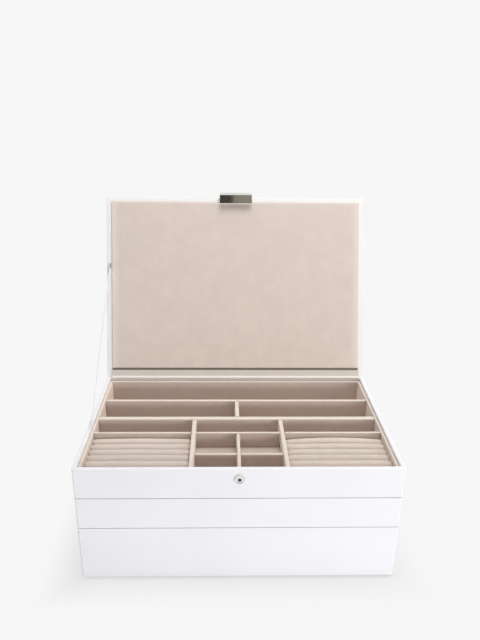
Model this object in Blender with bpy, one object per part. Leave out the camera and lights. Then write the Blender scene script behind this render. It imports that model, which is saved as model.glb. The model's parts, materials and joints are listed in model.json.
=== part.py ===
"""Three-tier jewelry box: three stacking trays, a padded lid on a fabric hinge with a ribbon
stay, and a hasp that swings on a pin and drops over a stud. Metres, +Z up, front towards -Y."""

import math
from types import SimpleNamespace

import bmesh
import bpy
from mathutils import Matrix, Vector

# Overall size of the stack of trays
BOX_WIDTH = 0.365
BOX_DEPTH = 0.254
BOTTOM_HEIGHT = 0.0683
MIDDLE_HEIGHT = 0.0392
TOP_HEIGHT = 0.0380

# Clearance between pieces that touch, and how far a cutter overruns its cut
GAP = 0.0003
OVERRUN = 0.001

# Covered shells, their base boards and the velvet liners
WALL = 0.0048
SHELL_FLOOR = 0.003
CORNER_RADIUS = 0.0022
EDGE_RADIUS = 0.0008
PLINTH_THICKNESS = 0.0025
PLINTH_PLAY = 0.0012
RIM_RECESS = 0.0040
LINER_WALL = 0.0028
LINER_EDGE = 0.0007
BOTTOM_LINER_FLOOR = 0.0050
MIDDLE_LINER_FLOOR = 0.0059
TOP_LINER_FLOOR = 0.0030
RAISED_FLOOR = 0.0074

# Velvet-covered dividers
BOARD = 0.0058
WIDE_BOARD = 0.0090
THIN_BOARD = 0.0046
BOARD_EDGE = 0.0010

# How the clear depth and width of each tray are shared out, from the back and from the left
TOP_ROW_SHARES = (0.2656, 0.2092, 0.1482, 0.3770)
TOP_COLUMN_SHARES = (0.3487, 0.3026, 0.3487)
TOP_PAIR_SHARES = (0.5, 0.5)
TOP_CELL_SHARES = (0.612, 0.388)
MIDDLE_ROW_SHARES = (0.46, 0.54)
MIDDLE_BACK_SHARES = (0.36, 0.28, 0.36)
MIDDLE_FRONT_SHARES = (0.25, 0.25, 0.25, 0.25)
BOTTOM_ROW_SHARES = (0.42, 0.58)
BOTTOM_BACK_SHARES = (0.5, 0.5)

# Ring rolls at both sides of the front row
ROLL_COUNT = 6
ROLL_DROP = 0.0060
ROLL_CROWN = 0.0008
ROLL_END = 0.0030
ROLL_FRONT_PLAY = 0.0028

# Lid, its pad and the strips of its fabric hinge
LID_THICKNESS = 0.013
LID_LEAN_DEG = 23.0
PAD_SIDE_BORDER = 0.0071
PAD_FRONT_BORDER = 0.0062
PAD_LINING_PLAY = 0.0020
PAD_CLEARANCE = 0.0008
PAD_CORNER = 0.0040
PAD_EDGE = 0.0014
PAD_CROWN = 0.0006
PAD_CROWN_REACH = 0.0400
SPINE_THICKNESS = 0.0006
SPINE_REACH = 0.0100
LINING_THICKNESS = 0.0005
LINING_REACH = 0.0108

# Ribbon stay that stops the lid
STAY_REACH = 0.160
STAY_WIDTH = 0.0060
STAY_THICKNESS = 0.0006

# Stud on the front of the top tray
STUD_DROP = 0.0130
STUD_RADIUS = 0.0056
STUD_PROUD = 0.0030
STUD_LIP = 0.0018
STUD_ROUND = 0.0009
STUD_CORE_SINK = 0.0008
STUD_SHANK_RADIUS = 0.0017
STUD_SHANK_LENGTH = 0.0036

# Hasp: leaf on the lid's front edge, pin, and swinging plate
LEAF_THICKNESS = 0.0010
LEAF_MARGIN = 0.0016
KNUCKLE_RADIUS = 0.0020
PIN_RADIUS = 0.0007
PIN_OUT = 0.0055
PIN_RISE = 0.0015
HASP_WIDTH = 0.0460
HASP_THICKNESS = 0.0014
HASP_DROP = 0.0195
HASP_EDGE = 0.0004
LUG_WIDTH = 0.0026
LUG_FLANK_DEG = 60
MAGNET_RADIUS = 0.0030
RIVET_RADIUS = 0.0018
RIVET_HEAD = 0.0006
RIVET_SHANK_RADIUS = 0.0008
RIVET_SHANK_LENGTH = 0.0040
RIVET_SPREAD_SHARE = 0.36

# Facets
CORNER_STEPS = 3
EDGE_STEPS = 2
ROUND_SIDES = 16
STUD_SIDES = 24
ROLL_SIDES = 10
ROLL_STATIONS = 2
CROWN_STEPS = 4
SMOOTH_ANGLE = math.radians(40)

LEATHER = ("leatherette", (0.86, 0.85, 0.88), 0.45, 0.0)
VELVET = ("velvet", (0.76, 0.68, 0.63), 0.95, 0.0)
ROLL_VELVET = ("roll_velvet", (0.80, 0.73, 0.69), 0.95, 0.0)
RIBBON = ("ribbon", (0.88, 0.85, 0.82), 0.70, 0.0)
NICKEL = ("nickel", (0.72, 0.71, 0.69), 0.15, 1.0)
DARK_METAL = ("dark_metal", (0.08, 0.08, 0.08), 0.35, 1.0)

HALF_WIDTH = BOX_WIDTH / 2
HALF_DEPTH = BOX_DEPTH / 2
LID_OPEN = math.radians(90 + LID_LEAN_DEG)


def clear_scene():
    for old in list(bpy.data.objects):
        bpy.data.objects.remove(old, do_unlink=True)


def material(name, finish):
    _, colour, roughness, metallic = finish
    made = bpy.data.materials.new(name + "_" + finish[0])
    made.use_nodes = True
    shader = made.node_tree.nodes["Principled BSDF"]
    shader.inputs["Base Color"].default_value = (*colour, 1.0)
    shader.inputs["Roughness"].default_value = roughness
    shader.inputs["Metallic"].default_value = metallic
    made.diffuse_color = (*colour, 1.0)
    return made


def empty(name, parent=None, location=(0, 0, 0), turn=0.0):
    """A guide on a joint's axis; turn is about X."""
    guide = bpy.data.objects.new(name, None)
    bpy.context.collection.objects.link(guide)
    guide.parent = parent
    guide.location = location
    guide.rotation_euler = (turn, 0, 0)
    return guide


def piece(name, bm, finish, parent=None, smooth=True):
    """One named solid from a bmesh, with its own material."""
    bmesh.ops.recalc_face_normals(bm, faces=bm.faces)
    if bm.calc_volume(signed=True) < 0:
        bmesh.ops.reverse_faces(bm, faces=bm.faces)
    mesh = bpy.data.meshes.new(name)
    bm.to_mesh(mesh)
    bm.free()
    if smooth:
        mesh.shade_smooth()
        mesh.set_sharp_from_angle(angle=SMOOTH_ANGLE)
    solid = bpy.data.objects.new(name, mesh)
    bpy.context.collection.objects.link(solid)
    solid.parent = parent
    mesh.materials.append(material(name, finish))
    return solid


def combine(solid, tool, operation):
    """Joins a tool to a solid, or cuts it out, and keeps the tool out of the build."""
    step = solid.modifiers.new(tool.name, "BOOLEAN")
    step.operation = operation
    step.solver = "EXACT"
    step.object = tool
    tool.hide_render = True
    tool.display_type = "WIRE"


def rounded_ring(half_x, half_y, radius, z, centre_y=0.0):
    """Points of a rectangle with round corners, anticlockwise at height z."""
    points = []
    for corner, (side_x, side_y) in enumerate(((1, 1), (-1, 1), (-1, -1), (1, -1))):
        middle_x = side_x * (half_x - radius)
        middle_y = side_y * (half_y - radius)
        for step in range(CORNER_STEPS + 1):
            angle = math.radians(90) * (corner + step / CORNER_STEPS)
            x = middle_x + radius * math.cos(angle)
            y = middle_y + radius * math.sin(angle)
            points.append((x, centre_y + y, z))
    return points


def loft(rings):
    """A closed skin through rings of equally many points, capped at both ends."""
    bm = bmesh.new()
    loops = [[bm.verts.new(point) for point in ring] for ring in rings]
    count = len(loops[0])
    for lower, upper in zip(loops, loops[1:]):
        for i in range(count):
            j = (i + 1) % count
            bm.faces.new((lower[i], lower[j], upper[j], upper[i]))
    bm.faces.new(list(reversed(loops[0])))
    bm.faces.new(loops[-1])
    return bm


def quarter(start_inset, end_inset, start_z, end_z, upright_first):
    """Steps of a quarter round, as (inset, z), from one face to the next."""
    steps = []
    for step in range(EDGE_STEPS + 1):
        angle = math.radians(90) * step / EDGE_STEPS
        fast, slow = math.sin(angle), 1 - math.cos(angle)
        if upright_first:
            fast, slow = slow, fast
        inset = start_inset + (end_inset - start_inset) * fast
        z = start_z + (end_z - start_z) * slow
        steps.append((inset, z))
    return steps


def inset_rings(steps, half_x, half_y, radius, centre_y=0.0):
    """Rings that follow (inset, z) steps inwards from a rounded rectangle."""
    rings = []
    for inset, z in steps:
        corner = max(radius - inset, EDGE_RADIUS)
        rings.append(rounded_ring(half_x - inset, half_y - inset, corner, z, centre_y))
    return rings


def tub(half_x, half_y, radius, wall, low, floor, top, edge):
    """An open box: outer foot, outer side, rim, inner side and floor."""
    steps = quarter(edge, 0, low, low + edge, False)
    steps += quarter(0, edge, top - edge, top, True)
    steps += quarter(wall - edge, wall, top, top - edge, False)
    steps.append((wall, floor))
    return loft(inset_rings(steps, half_x, half_y, radius))


def slab(half_x, half_y, radius, low, top, low_edge, top_edge, centre_y=0.0):
    """A flat board with round corners and rounded edges."""
    steps = quarter(low_edge, 0, low, low + low_edge, False)
    steps += quarter(0, top_edge, top - top_edge, top, True)
    return loft(inset_rings(steps, half_x, half_y, radius, centre_y))


def cushion(half_x, half_y, radius, low, top, low_edge, top_edge, centre_y):
    """A pad like a slab whose lower face swells towards its middle."""
    steps = []
    for step in range(CROWN_STEPS):
        outwards = step / CROWN_STEPS
        inset = low_edge + PAD_CROWN_REACH * (1 - outwards)
        steps.append((inset, low + PAD_CROWN * outwards * outwards))
    brim = low + PAD_CROWN
    steps += quarter(low_edge, 0, brim, brim + low_edge, False)
    steps += quarter(0, top_edge, top - top_edge, top, True)
    return loft(inset_rings(steps, half_x, half_y, radius, centre_y))


def block(x_range, y_range, z_range):
    """A plain box between two values along each axis."""
    bm = bmesh.new()
    bmesh.ops.create_cube(bm, size=1.0)
    ranges = (x_range, y_range, z_range)
    size = [high - low for low, high in ranges]
    middle = [(high + low) / 2 for low, high in ranges]
    bm.transform(Matrix.Translation(middle) @ Matrix.Diagonal((*size, 1.0)))
    return bm


def board(name, x_range, y_range, z_range, parent):
    """A velvet-covered board with rounded edges."""
    bm = block(x_range, y_range, z_range)
    edges = list(bm.edges)
    bmesh.ops.bevel(
        bm, geom=edges, offset=BOARD_EDGE, segments=EDGE_STEPS, profile=0.5, affect="EDGES"
    )
    return piece(name, bm, VELVET, parent)


def prism(outline, x_low, x_high):
    """An outline of (y, z) points, extruded along X."""
    bm = bmesh.new()
    face = bm.faces.new([bm.verts.new((x_low, y, z)) for y, z in outline])
    pushed = bmesh.ops.extrude_face_region(bm, geom=[face])
    moved = [item for item in pushed["geom"] if isinstance(item, bmesh.types.BMVert)]
    bmesh.ops.translate(bm, verts=moved, vec=(x_high - x_low, 0, 0))
    return bm


def arc(centre_y, centre_z, radius, start_deg, end_deg, steps):
    """Points (y, z) along an arc; 0 degrees is +Y and 90 is +Z."""
    points = []
    for step in range(steps + 1):
        angle = math.radians(start_deg + (end_deg - start_deg) * step / steps)
        points.append((centre_y + radius * math.cos(angle), centre_z + radius * math.sin(angle)))
    return points


def rod(x_low, x_high, centre_y, centre_z, radius):
    """A round bar along X."""
    ring = arc(centre_y, centre_z, radius, 0, 360, ROUND_SIDES)[:-1]
    return prism(ring, x_low, x_high)


def turned(profile, centre, sides):
    """A solid turned about the Y direction from (radius, distance along -Y) points."""
    bm = bmesh.new()
    for radius, along in profile:
        bm.verts.new((radius, -along, 0))
    bm.verts.ensure_lookup_table()
    for first, second in zip(list(bm.verts), list(bm.verts)[1:]):
        bm.edges.new((first, second))
    bmesh.ops.spin(
        bm,
        geom=bm.verts[:] + bm.edges[:],
        axis=(0, 1, 0),
        cent=(0, 0, 0),
        angle=math.tau,
        steps=sides,
        use_merge=True,
    )
    bmesh.ops.remove_doubles(bm, verts=bm.verts, dist=GAP * GAP)
    bm.transform(Matrix.Translation(centre))
    return bm


def spans(low, high, shares, boards):
    """Clear spans from low to high that shares divide, with a board between each two."""
    clear = high - low - sum(boards)
    found = []
    place = low
    for index, share in enumerate(shares):
        end = place + clear * share
        found.append((place, end))
        if index < len(boards):
            place = end + boards[index]
    return found


def between(first, second):
    """The board that stands between two neighbouring spans, with its clearance."""
    low, high = sorted((first, second))
    return low[1] + GAP, high[0] - GAP


def fitted(span):
    """A span less the clearance at both ends."""
    return span[0] + GAP, span[1] - GAP


def tray(name, base, height, liner_floor):
    """One tray's shell, base board and liner. Returns its guide and where its cells lie."""
    guide = empty(name + "_guide", location=(0, 0, base))
    shell = tub(HALF_WIDTH, HALF_DEPTH, CORNER_RADIUS, WALL, 0, SHELL_FLOOR, height, EDGE_RADIUS)
    shell = piece(name + "_shell", shell, LEATHER, guide)
    inset = WALL + PLINTH_PLAY
    plinth = slab(
        HALF_WIDTH - inset,
        HALF_DEPTH - inset,
        CORNER_RADIUS,
        -GAP - PLINTH_THICKNESS,
        -GAP,
        LINER_EDGE,
        LINER_EDGE,
    )
    piece(name + "_plinth", plinth, VELVET, guide)
    inset = WALL + GAP
    cell_top = height - RIM_RECESS
    cell_floor = SHELL_FLOOR + GAP + liner_floor
    liner = tub(
        HALF_WIDTH - inset,
        HALF_DEPTH - inset,
        CORNER_RADIUS,
        LINER_WALL,
        SHELL_FLOOR + GAP,
        cell_floor,
        cell_top,
        LINER_EDGE,
    )
    piece(name + "_liner", liner, VELVET, guide)
    inset += LINER_WALL
    return SimpleNamespace(
        name=name,
        guide=guide,
        shell=shell,
        base=base,
        rim=base + height,
        height=height,
        half_x=HALF_WIDTH - inset,
        half_y=HALF_DEPTH - inset,
        upright=(cell_floor + GAP, cell_top),
    )


def rows_of(box, shares, boards):
    """Rows from the back of a tray to its front."""
    found = spans(-box.half_y, box.half_y, shares[::-1], boards[::-1])
    return found[::-1]


def row_boards(box, prefix, columns, row):
    """A divider between each two columns of a row."""
    for number, (left, right) in enumerate(zip(columns, columns[1:]), 1):
        name = f"{box.name}_{prefix}_divider_{number}"
        board(name, between(left, right), fitted(row), box.upright, box.guide)


def bottom_dividers(box):
    """One long divider, and one across the back row."""
    across = (-box.half_x, box.half_x)
    back, front = rows_of(box, BOTTOM_ROW_SHARES, [BOARD])
    board("bottom_long_divider", fitted(across), between(front, back), box.upright, box.guide)
    row_boards(box, "back", spans(*across, BOTTOM_BACK_SHARES, [BOARD]), back)


def middle_dividers(box):
    """One long divider, two short ones behind it and three in front."""
    across = (-box.half_x, box.half_x)
    back, front = rows_of(box, MIDDLE_ROW_SHARES, [BOARD])
    board("middle_long_divider", fitted(across), between(front, back), box.upright, box.guide)
    row_boards(box, "back", spans(*across, MIDDLE_BACK_SHARES, [BOARD] * 2), back)
    row_boards(box, "front", spans(*across, MIDDLE_FRONT_SHARES, [THIN_BOARD] * 3), front)


def top_layout(box):
    """Rows and columns of the top tray."""
    across = (-box.half_x, box.half_x)
    rows = rows_of(box, TOP_ROW_SHARES, [BOARD, WIDE_BOARD, THIN_BOARD])
    columns = spans(*across, TOP_COLUMN_SHARES, [BOARD] * 2)
    middle = columns[1]
    cells = spans(rows[3][0], rows[3][1], TOP_CELL_SHARES[::-1], [THIN_BOARD])
    return SimpleNamespace(
        across=across,
        rows=rows,
        columns=columns,
        pair=spans(*across, TOP_PAIR_SHARES, [BOARD]),
        middle_pair=spans(*middle, TOP_PAIR_SHARES, [THIN_BOARD]),
        cells=cells[::-1],
    )


def raised_floor(box, plan):
    """A covered board that lifts the floor before the main divider. Returns the heights above it."""
    low, high = box.upright
    third, front = plan.rows[2:]
    top = low + RAISED_FLOOR
    board("raised_floor", fitted(plan.across), fitted((front[0], third[1])), (low, top), box.guide)
    return top + GAP, high


def top_dividers(box, plan, raised):
    """Two full-width dividers, then three columns with four cells in the middle."""
    back, second, third, front = plan.rows
    board("back_divider", fitted(plan.across), between(second, back), box.upright, box.guide)
    board("main_divider", fitted(plan.across), between(third, second), box.upright, box.guide)
    board("second_row_divider", between(*plan.pair), fitted(second), box.upright, box.guide)
    deep = (front[0], third[1])
    left, middle, right = plan.columns
    board("left_column_divider", between(left, middle), fitted(deep), raised, box.guide)
    board("right_column_divider", between(middle, right), fitted(deep), raised, box.guide)
    for side, column in (("left", left), ("middle", middle), ("right", right)):
        name = f"front_row_divider_{side}"
        board(name, fitted(column), between(front, third), raised, box.guide)
    board("cell_long_divider", between(*plan.middle_pair), fitted(front), raised, box.guide)
    for side, half in zip(("left", "right"), plan.middle_pair):
        name = f"cell_cross_divider_{side}"
        board(name, fitted(half), between(*plan.cells), raised, box.guide)


def ring_roll(name, x_range, y_range, z_range, parent):
    """A foam roll in velvet: round on top, flat below, crowned along its length."""
    half_y = (y_range[1] - y_range[0]) / 2
    middle_y = (y_range[1] + y_range[0]) / 2
    half_z = (z_range[1] - z_range[0]) / 2
    middle_z = (z_range[1] + z_range[0]) / 2
    middle_x = (x_range[1] + x_range[0]) / 2
    half_x = (x_range[1] - x_range[0]) / 2
    places = [half_x, half_x - ROLL_END]
    places += [(half_x - ROLL_END) * (1 - step / ROLL_STATIONS) for step in range(1, ROLL_STATIONS)]
    stations = [middle_x - place for place in places] + [middle_x]
    stations += [middle_x + place for place in reversed(places)]
    rings = []
    for x in stations:
        run = abs(x - middle_x) / half_x
        end = min(1.0, (half_x - abs(x - middle_x)) / ROLL_END)
        girth = 1 - (1 - end) * ROLL_END / half_y / 2
        lift = ROLL_CROWN * run * run
        ring = []
        for side in range(ROLL_SIDES):
            angle = math.tau * (side + 0.5) / ROLL_SIDES
            y = middle_y + half_y * girth * math.cos(angle)
            z = middle_z + half_z * girth * math.sin(angle)
            z = max(z, z_range[0])
            if z > middle_z:
                z -= lift * (z - middle_z) / half_z
            ring.append((x, y, z))
        rings.append(ring)
    return piece(name, loft(rings), ROLL_VELVET, parent)


def ring_rolls(box, plan, raised):
    """Rows of ring rolls in the left and right columns of the front row."""
    front = plan.rows[3]
    low, high = raised
    room = front[1] - front[0] - ROLL_FRONT_PLAY - GAP
    pitch = room / ROLL_COUNT
    for side, column in (("left", plan.columns[0]), ("right", plan.columns[2])):
        for number in range(ROLL_COUNT):
            back = front[1] - GAP - number * pitch
            name = f"ring_roll_{side}_{number + 1}"
            y_range = (back - pitch + GAP, back)
            ring_roll(name, fitted(column), y_range, (low, high - ROLL_DROP), box.guide)


def stud(box):
    """A dished nickel ring with a dark core, on a shank through the front wall."""
    place = Vector((0, -HALF_DEPTH, box.height - STUD_DROP))
    shank_end = -STUD_SHANK_LENGTH
    dish_floor = STUD_PROUD - STUD_CORE_SINK * 2
    inner = STUD_RADIUS - STUD_LIP
    ring = [
        (0, shank_end),
        (STUD_SHANK_RADIUS, shank_end),
        (STUD_SHANK_RADIUS, GAP),
        (STUD_RADIUS, GAP),
        (STUD_RADIUS, STUD_PROUD - STUD_ROUND),
        (STUD_RADIUS - STUD_ROUND / 3, STUD_PROUD - STUD_ROUND / 3),
        (STUD_RADIUS - STUD_ROUND, STUD_PROUD),
        (inner, STUD_PROUD),
        (inner, dish_floor),
        (0, dish_floor),
    ]
    piece("stud_ring", turned(ring, place, STUD_SIDES), NICKEL, box.guide)
    core_radius = inner - GAP
    core = [
        (0, dish_floor + GAP),
        (core_radius, dish_floor + GAP),
        (core_radius, STUD_PROUD - STUD_CORE_SINK),
        (0, STUD_PROUD - STUD_CORE_SINK),
    ]
    piece("stud_core", turned(core, place, ROUND_SIDES), DARK_METAL, box.guide)
    hole_radius = STUD_SHANK_RADIUS + GAP
    hole = [
        (0, -STUD_SHANK_LENGTH - GAP),
        (hole_radius, -STUD_SHANK_LENGTH - GAP),
        (hole_radius, OVERRUN),
        (0, OVERRUN),
    ]
    cutter = piece("stud_hole_cutter", turned(hole, place, ROUND_SIDES), NICKEL, box.guide)
    combine(box.shell, cutter, "DIFFERENCE")


def fold(first_deg, second_deg, reach, near, far):
    """A bent strip's outline about the hinge axis: an arm along each angle, near to far off it."""
    half = math.radians(second_deg - first_deg) / 2
    first = Vector((math.cos(math.radians(first_deg)), math.sin(math.radians(first_deg))))
    second = Vector((math.cos(math.radians(second_deg)), math.sin(math.radians(second_deg))))
    middle = (first + second).normalized()
    sides = []
    for offset in (near, far):
        apex = middle * (offset / math.sin(half))
        back = offset / math.tan(half)
        sides.append((apex + first * (reach[0] - back), apex, apex + second * (reach[1] - back)))
    return [tuple(point) for point in sides[0] + sides[1][::-1]]


def lid(box):
    """The lid on its hinge axis, modelled closed and opened by its guide."""
    place = (0, HALF_DEPTH, box.rim + GAP)
    hinge = empty("lid_hinge", None, place, -LID_OPEN)
    panel = slab(
        HALF_WIDTH, HALF_DEPTH, CORNER_RADIUS, 0, LID_THICKNESS, EDGE_RADIUS, EDGE_RADIUS, -HALF_DEPTH
    )
    panel = piece("lid_board", panel, LEATHER, hinge)
    hinge_border = LINING_REACH + PAD_LINING_PLAY
    pad_half_y = (BOX_DEPTH - hinge_border - PAD_FRONT_BORDER) / 2
    pad = cushion(
        HALF_WIDTH - PAD_SIDE_BORDER,
        pad_half_y,
        PAD_CORNER,
        -(RIM_RECESS - PAD_CLEARANCE),
        -GAP,
        PAD_EDGE,
        LINER_EDGE,
        -hinge_border - pad_half_y,
    )
    piece("lid_pad", pad, VELVET, hinge)
    return hinge, panel


def hinge_strips(box):
    """The fabric hinge: a spine behind the axis and a lining in front of it."""
    guide = empty("hinge_strip_guide", None, (0, HALF_DEPTH, box.rim + GAP))
    lean = 90 - LID_LEAN_DEG
    half_x = HALF_WIDTH - CORNER_RADIUS
    reach = (SPINE_REACH, SPINE_REACH)
    spine = fold(-90, lean - 90, reach, GAP, GAP + SPINE_THICKNESS)
    piece("hinge_spine", prism(spine, -half_x, half_x), LEATHER, guide, smooth=False)
    half_x = HALF_WIDTH - WALL - PLINTH_PLAY
    reach = (LINING_REACH, WALL)
    lining = fold(lean, 180, reach, GAP, GAP + LINING_THICKNESS)
    piece("hinge_lining", prism(lining, -half_x, half_x), LEATHER, guide, smooth=False)


def stay(box):
    """The ribbon from the tray's left wall to the lid, cut to the liner and to the lid."""
    guide = empty("stay_guide", None, (0, HALF_DEPTH, box.rim + GAP))
    lean = math.radians(90 - LID_LEAN_DEG)
    foot = Vector((-STAY_REACH, -GAP))
    along_lid = Vector((math.cos(lean), math.sin(lean)))
    head = along_lid * STAY_REACH
    run = (head - foot).normalized()
    side = Vector((-run.y, run.x)) * STAY_WIDTH / 2
    lid_normal = Vector((-along_lid.y, along_lid.x))
    low = -RIM_RECESS
    outline = []
    for edge in (side, -side):
        start = foot + edge
        to_floor = (low - start.y) / run.y
        to_lid = (GAP - start.dot(lid_normal)) / run.dot(lid_normal)
        outline.append((start + run * to_floor, start + run * to_lid))
    points = [outline[0][0], outline[0][1], outline[1][1], outline[1][0]]
    x = -HALF_WIDTH + WALL + GAP
    ribbon = prism([tuple(point) for point in points], x, x + STAY_THICKNESS)
    piece("ribbon_stay", ribbon, RIBBON, guide, smooth=False)


def magnet_thickness():
    """The magnet fills the room between the closed plate and the stud."""
    return PIN_OUT - HASP_THICKNESS / 2 - STUD_PROUD - GAP * 2


def hasp_rest_turn():
    """How far the hasp has turned past square to the lid, where its magnet lies on the pad."""
    into_lid = PAD_FRONT_BORDER + PIN_OUT
    off_lid = RIM_RECESS - PAD_CLEARANCE + PIN_RISE
    proud = HASP_THICKNESS / 2 + GAP + magnet_thickness()
    distance = math.hypot(into_lid, off_lid)
    return math.atan2(into_lid, off_lid) - math.asin((proud + GAP) / distance)


def leaf_width():
    """The leaf fits between the plate's lugs."""
    return HASP_WIDTH - (HASP_EDGE + LUG_WIDTH + GAP) * 2


def rivet(name, place, hinge):
    """A low domed rivet whose shank enters the lid."""
    profile = [
        (0, -RIVET_SHANK_LENGTH),
        (RIVET_SHANK_RADIUS, -RIVET_SHANK_LENGTH),
        (RIVET_SHANK_RADIUS, GAP),
        (RIVET_RADIUS, GAP),
        (RIVET_RADIUS, GAP + RIVET_HEAD / 3),
        (RIVET_RADIUS / 2, GAP + RIVET_HEAD),
        (0, GAP + RIVET_HEAD),
    ]
    piece(name, turned(profile, place, ROUND_SIDES), NICKEL, hinge)
    radius = RIVET_SHANK_RADIUS + GAP
    hole = [
        (0, -RIVET_SHANK_LENGTH - GAP),
        (radius, -RIVET_SHANK_LENGTH - GAP),
        (radius, OVERRUN),
        (0, OVERRUN),
    ]
    return piece(name + "_cutter", turned(hole, place, ROUND_SIDES), NICKEL, hinge)


def hasp_leaf(hinge, panel):
    """The fixed leaf on the lid's front edge, with its knuckle and two rivets."""
    back = -BOX_DEPTH - GAP
    face = back - LEAF_THICKNESS
    pin_y = -BOX_DEPTH - PIN_OUT
    top = LID_THICKNESS - LEAF_MARGIN
    outline = [(back, top), (face, top), (face, PIN_RISE + KNUCKLE_RADIUS)]
    outline += arc(pin_y, PIN_RISE, KNUCKLE_RADIUS, 90, 360, ROUND_SIDES)
    outline.append((back, PIN_RISE))
    width = leaf_width()
    half_x = width / 2
    leaf = piece("hasp_leaf", prism(outline, -half_x, half_x), NICKEL, hinge)
    radius = PIN_RADIUS + GAP
    bore = rod(-half_x - OVERRUN, half_x + OVERRUN, pin_y, PIN_RISE, radius)
    combine(leaf, piece("leaf_bore_cutter", bore, NICKEL, hinge), "DIFFERENCE")
    rivet_z = (PIN_RISE + KNUCKLE_RADIUS + top) / 2
    for side, sign in (("left", -1), ("right", 1)):
        place = Vector((sign * width * RIVET_SPREAD_SHARE, face, rivet_z))
        cutter = rivet(f"hasp_rivet_{side}", place, hinge)
        combine(leaf, cutter, "DIFFERENCE")
        combine(panel, cutter, "DIFFERENCE")


def hasp(hinge):
    """The pin, and the plate that swings on it with two lugs and a magnet."""
    pivot = empty("hasp_pivot", hinge, (0, -BOX_DEPTH - PIN_OUT, PIN_RISE), hasp_rest_turn())
    half_x = HASP_WIDTH / 2
    piece("hasp_pin", rod(-half_x, half_x, 0, 0, PIN_RADIUS), NICKEL, pivot)
    half_y = HASP_THICKNESS / 2
    top = -KNUCKLE_RADIUS - GAP
    bm = block((-half_x, half_x), (-half_y, half_y), (-HASP_DROP, top))
    front = [edge for edge in bm.edges if all(vert.co.y < 0 for vert in edge.verts)]
    bmesh.ops.bevel(
        bm, geom=front, offset=HASP_EDGE, segments=EDGE_STEPS, profile=0.5, affect="EDGES"
    )
    plate = piece("hasp_plate", bm, NICKEL, pivot)
    reach = half_y - HASP_EDGE
    root = top - LUG_WIDTH
    outline = [(reach, root), (reach, -KNUCKLE_RADIUS / 2)]
    outline += arc(0, 0, KNUCKLE_RADIUS, -LUG_FLANK_DEG, 180 + LUG_FLANK_DEG, ROUND_SIDES)
    outline += [(-reach, -KNUCKLE_RADIUS / 2), (-reach, root)]
    for side, sign in (("left", -1), ("right", 1)):
        outside = sign * (half_x - HASP_EDGE)
        ends = sorted((outside, outside - sign * LUG_WIDTH))
        lug = piece(f"lug_{side}_tool", prism(outline, *ends), NICKEL, pivot)
        combine(plate, lug, "UNION")
    bore = rod(-half_x - OVERRUN, half_x + OVERRUN, 0, 0, PIN_RADIUS + GAP)
    combine(plate, piece("hasp_bore_cutter", bore, NICKEL, pivot), "DIFFERENCE")
    thickness = magnet_thickness()
    magnet = [(0, 0), (MAGNET_RADIUS, 0), (MAGNET_RADIUS, thickness), (0, thickness)]
    place = Vector((0, half_y + GAP + thickness, -STUD_DROP - PIN_RISE - GAP))
    piece("hasp_magnet", turned(magnet, place, ROUND_SIDES), DARK_METAL, pivot)


def main():
    clear_scene()
    base = PLINTH_THICKNESS + GAP
    bottom = tray("bottom", base, BOTTOM_HEIGHT, BOTTOM_LINER_FLOOR)
    bottom_dividers(bottom)
    middle = tray("middle", bottom.rim + GAP, MIDDLE_HEIGHT, MIDDLE_LINER_FLOOR)
    middle_dividers(middle)
    top = tray("top", middle.rim + GAP, TOP_HEIGHT, TOP_LINER_FLOOR)
    plan = top_layout(top)
    raised = raised_floor(top, plan)
    top_dividers(top, plan, raised)
    ring_rolls(top, plan, raised)
    stud(top)
    hinge, panel = lid(top)
    hinge_strips(top)
    stay(top)
    hasp_leaf(hinge, panel)
    hasp(hinge)


main()
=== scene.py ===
"""Looks for a stacking jewelry box: leatherette trays, velvet liners and dividers, soft ring rolls,
a padded lid on a fabric hinge with a ribbon stay, and a polished hasp with its stud."""

import json
import math

import bmesh
import bpy
from bpy.props import FloatProperty, FloatVectorProperty, IntProperty, PointerProperty
from bpy.types import Operator, Panel, PropertyGroup
from mathutils import Matrix, Vector, noise


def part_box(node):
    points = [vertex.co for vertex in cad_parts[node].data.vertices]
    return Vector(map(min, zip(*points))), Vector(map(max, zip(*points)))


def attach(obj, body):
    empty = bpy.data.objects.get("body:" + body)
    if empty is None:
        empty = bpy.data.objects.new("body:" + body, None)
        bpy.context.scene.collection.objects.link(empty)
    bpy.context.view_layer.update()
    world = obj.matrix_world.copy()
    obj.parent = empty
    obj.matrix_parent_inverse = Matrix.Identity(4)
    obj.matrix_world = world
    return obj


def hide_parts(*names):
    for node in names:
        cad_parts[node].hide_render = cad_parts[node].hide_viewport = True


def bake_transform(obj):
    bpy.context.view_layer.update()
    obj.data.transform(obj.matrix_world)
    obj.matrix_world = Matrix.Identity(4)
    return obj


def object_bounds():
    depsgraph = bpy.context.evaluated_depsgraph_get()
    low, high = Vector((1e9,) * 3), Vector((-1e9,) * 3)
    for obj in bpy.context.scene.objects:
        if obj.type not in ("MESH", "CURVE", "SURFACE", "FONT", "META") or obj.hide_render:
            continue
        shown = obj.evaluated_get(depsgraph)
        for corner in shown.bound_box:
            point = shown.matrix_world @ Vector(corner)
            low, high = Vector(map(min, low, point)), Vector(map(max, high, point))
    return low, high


bl_info = {
    "name": "Jewelry Box Looks",
    "version": (1, 0, 0),
    "blender": (4, 5, 0),
    "location": "3D View > Sidebar > Jewelry Box",
    "description": "Soft pieces, finishes, light and camera for a stacking jewelry box",
    "category": "Object",
}

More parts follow.
